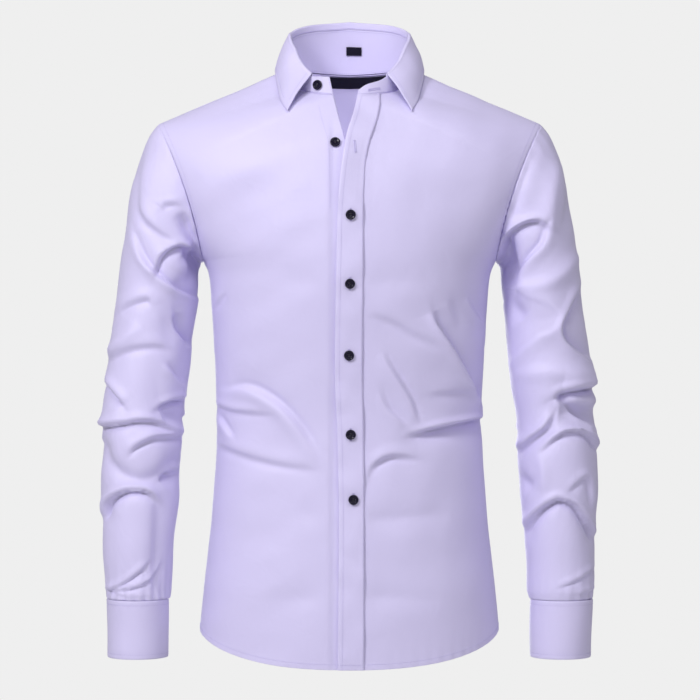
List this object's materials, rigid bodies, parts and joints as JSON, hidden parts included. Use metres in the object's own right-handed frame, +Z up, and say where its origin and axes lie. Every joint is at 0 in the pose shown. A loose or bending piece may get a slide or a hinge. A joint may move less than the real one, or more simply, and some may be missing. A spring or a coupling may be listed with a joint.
{
  "type": "long sleeve dress shirt",
  "caption": "Men's long sleeve dress shirt in plain sateen, filled out with no wearer: open spread collar on a tall stand, front placket, yoke, buttoned cuffs and curved hem.",
  "frame": {"origin": "at the base of the neck, in the middle, level with the tops of the shoulders, where the wearer holds the shirt up", "axes": "+Z up along the body, -Y out of the front, +X to the wearer's left"},
  "size_m": [0.577, 0.2329, 0.7588],
  "materials": {
    "sateen": "lavender sateen, soft sheen",
    "resin": "dark navy polished resin",
    "tape": "dark navy woven label, left bare"
  },
  "bodies": {
    "root": {"front_right": "sateen", "front_left": "sateen", "placket": "sateen", "back": "sateen", "yoke": "sateen", "sleeve_right": "sateen", "sleeve_placket_right": "sateen", "cuff_right": "sateen", "sleeve_left": "sateen", "sleeve_placket_left": "sateen", "cuff_left": "sateen", "collar_stand": "sateen", "collar_leaf": "sateen", "cuff_button_right": "resin", "cuff_button_left": "resin", "button_1": "resin", "button_2": "resin", "button_3": "resin", "button_4": "resin", "button_5": "resin", "button_6": "resin", "button_7": "resin", "label_main": "tape", "label_size": "tape"}
  },
  "joints": []
}
